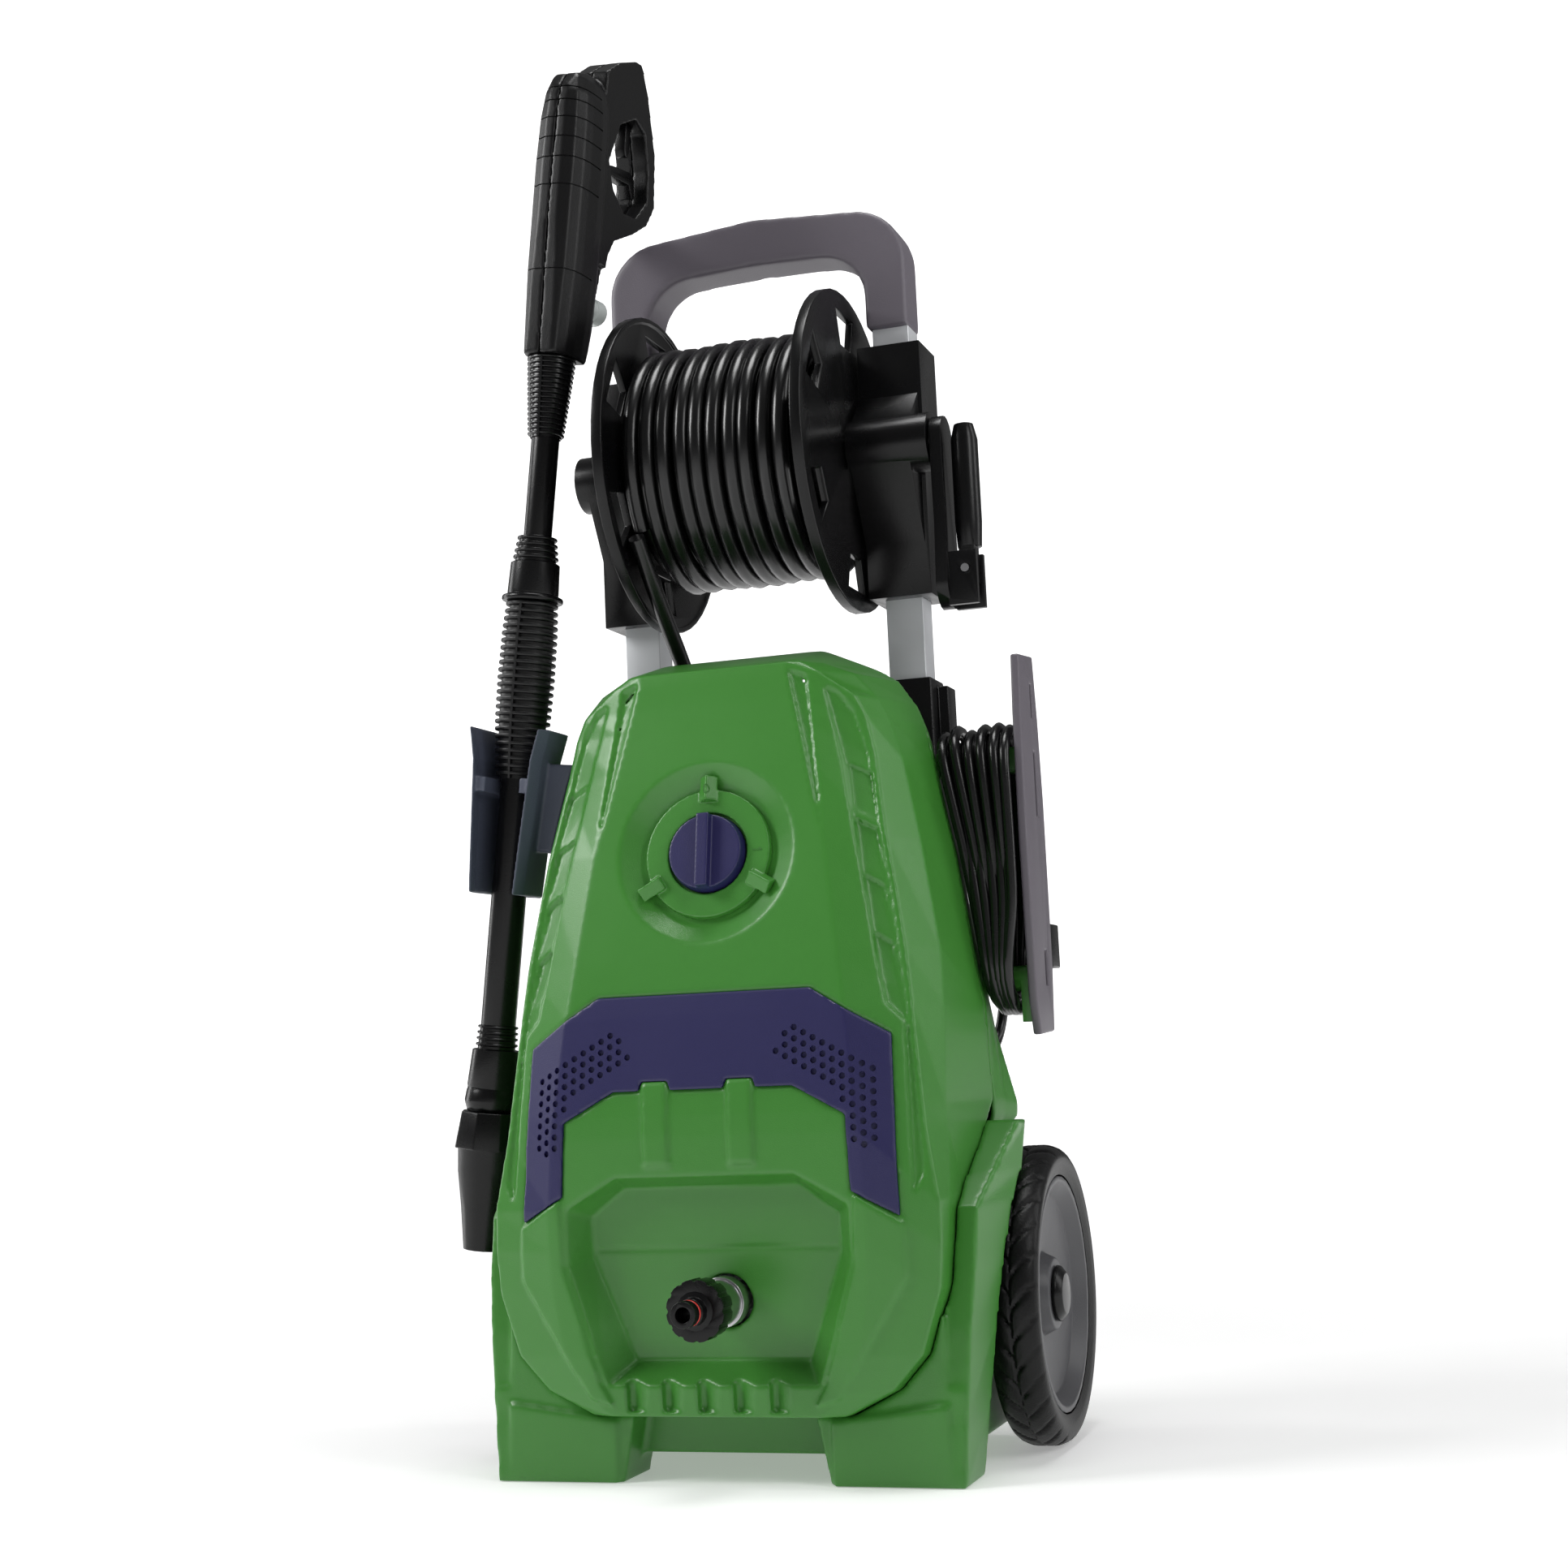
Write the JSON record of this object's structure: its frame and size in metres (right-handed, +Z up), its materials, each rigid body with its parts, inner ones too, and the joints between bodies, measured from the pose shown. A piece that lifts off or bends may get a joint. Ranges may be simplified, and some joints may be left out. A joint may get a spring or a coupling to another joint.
{
  "type": "pressure washer",
  "caption": "Upright wheeled electric pressure washer with a hose reel, push handle, cable hank and a trigger gun with lance in a side holder.",
  "frame": {"origin": "on the floor, below the middle of the bounding box of everything but the hose and the mains cable", "axes": "+Z up, -Y is the front with the dial and water inlet, +X to the right of someone facing the front"},
  "size_m": [0.4146, 0.34, 1.0273],
  "materials": {
    "green_plastic": "satin moulded",
    "purple_plastic": "satin moulded",
    "black_plastic": "satin moulded",
    "grey_plastic": "fine texture",
    "slate_plastic": "satin moulded",
    "rim_plastic": "satin moulded",
    "tyre_rubber": "moulded tread",
    "soft_rubber": "smooth",
    "aluminium": "anodised",
    "steel": "plated",
    "brass": "machined",
    "clear_cap": "translucent, unpigmented"
  },
  "bodies": {
    "machine": {"axle": "steel", "base_chassis": "green_plastic", "cable_arm": "green_plastic", "cable_coil": "soft_rubber", "cable_gland": "black_plastic", "cable_lead": "soft_rubber", "cable_plate": "grey_plastic", "capacitor": "black_plastic", "dial_ring": "green_plastic", "front_cover": "green_plastic", "hose_clip": "black_plastic", "hose_connector": "black_plastic", "hose_tail": "soft_rubber", "inlet_nipple": "black_plastic", "inlet_pipe": "steel", "lance_holder": "slate_plastic", "left_post": "aluminium", "left_post_sleeve": "black_plastic", "left_reel_bracket": "black_plastic", "mains_plug": "black_plastic", "motor": "steel", "outlet_pipe": "brass", "plug_lead": "soft_rubber", "pump_head": "aluminium", "push_handle": "grey_plastic", "rear_cover": "green_plastic", "right_post": "aluminium", "right_post_sleeve": "black_plastic", "right_reel_bracket": "black_plastic", "switch_box": "black_plastic", "vent_band": "purple_plastic"},
    "left_wheel": {"left_tyre": "tyre_rubber", "left_rim": "rim_plastic", "left_hub_cap": "black_plastic"},
    "right_wheel": {"right_tyre": "tyre_rubber", "right_rim": "rim_plastic", "right_hub_cap": "black_plastic"},
    "reel": {"reel_drum": "black_plastic", "left_reel_flange": "black_plastic", "right_reel_flange": "black_plastic", "hose_coil": "soft_rubber", "crank_arm": "black_plastic", "crank_pin": "steel"},
    "crank_handle": {"crank_grip": "black_plastic"},
    "switch_knob": {"on_off_knob": "purple_plastic"},
    "swivel_nut": {"inlet_nut": "black_plastic"},
    "hook": {"cable_hook": "green_plastic"},
    "gun": {"gun_right_shell": "black_plastic", "gun_left_shell": "black_plastic", "gun_inlet_cap": "clear_cap", "bend_guard": "soft_rubber", "upper_tube": "black_plastic"},
    "trigger_lever": {"trigger": "black_plastic"},
    "lock_flap": {"trigger_lock": "black_plastic"},
    "lance": {"lance_collar": "black_plastic", "grip_sleeve": "soft_rubber", "lower_tube": "black_plastic", "nozzle_coupling": "black_plastic"},
    "nozzle": {"nozzle_head": "black_plastic"}
  },
  "joints": [
    {"name": "left_wheel_spin", "type": "hinge", "parent": "machine", "child": "left_wheel", "pos_m": [-0.16518, 0.069, 0.101], "axis": [1, 0, 0], "continuous": true},
    {"name": "right_wheel_spin", "type": "hinge", "parent": "machine", "child": "right_wheel", "pos_m": [0.18882, 0.069, 0.101], "axis": [1, 0, 0], "continuous": true},
    {"name": "reel_spin", "type": "hinge", "parent": "machine", "child": "reel", "pos_m": [0.01182, 0.044, 0.702], "axis": [1, 0, 0], "continuous": true},
    {"name": "crank_grip_fold", "type": "hinge", "parent": "reel", "child": "crank_handle", "pos_m": [0.17182, 0.044, 0.605], "axis": [0, 1, 0], "range_deg": [0, 90]},
    {"name": "knob_turn", "type": "hinge", "parent": "machine", "child": "switch_knob", "pos_m": [0.01082, -0.08141, 0.409], "axis": [0, 0.9806, -0.1961], "range_deg": [0, 90]},
    {"name": "inlet_nut_spin", "type": "hinge", "parent": "machine", "child": "swivel_nut", "pos_m": [0.01682, -0.141, 0.1155], "axis": [0, 1, 0], "continuous": true},
    {"name": "cable_hook_swivel", "type": "hinge", "parent": "machine", "child": "hook", "pos_m": [0.19582, 0.05, 0.317], "axis": [1, 0, 0], "range_deg": [0, 180]},
    {"name": "gun_lift", "type": "slide", "parent": "machine", "child": "gun", "axis": [0.1222, 0, 0.9925], "range_m": [0, 0.045]},
    {"name": "trigger_pull", "type": "hinge", "parent": "gun", "child": "trigger_lever", "pos_m": [-0.09133, 0.00389, 0.93472], "axis": [0.9887, -0.0872, -0.1217], "range_deg": [0, 10], "stiffness_Nm_per_rad": 0.4, "springref_deg": -5.73},
    {"name": "trigger_lock_turn", "type": "hinge", "parent": "gun", "child": "lock_flap", "pos_m": [-0.08083, 0.0517, 0.98582], "axis": [-0.9887, 0.0872, 0.1217], "range_deg": [0, 30]},
    {"name": "lance_twist", "type": "hinge", "parent": "gun", "child": "lance", "pos_m": [-0.13486, -0.026, 0.60255], "axis": [0.1222, 0, 0.9925], "range_deg": [0, 90]},
    {"name": "nozzle_twist", "type": "hinge", "parent": "lance", "child": "nozzle", "pos_m": [-0.17933, -0.026, 0.24127], "axis": [0.1222, 0, 0.9925], "range_deg": [0, 120]}
  ]
}
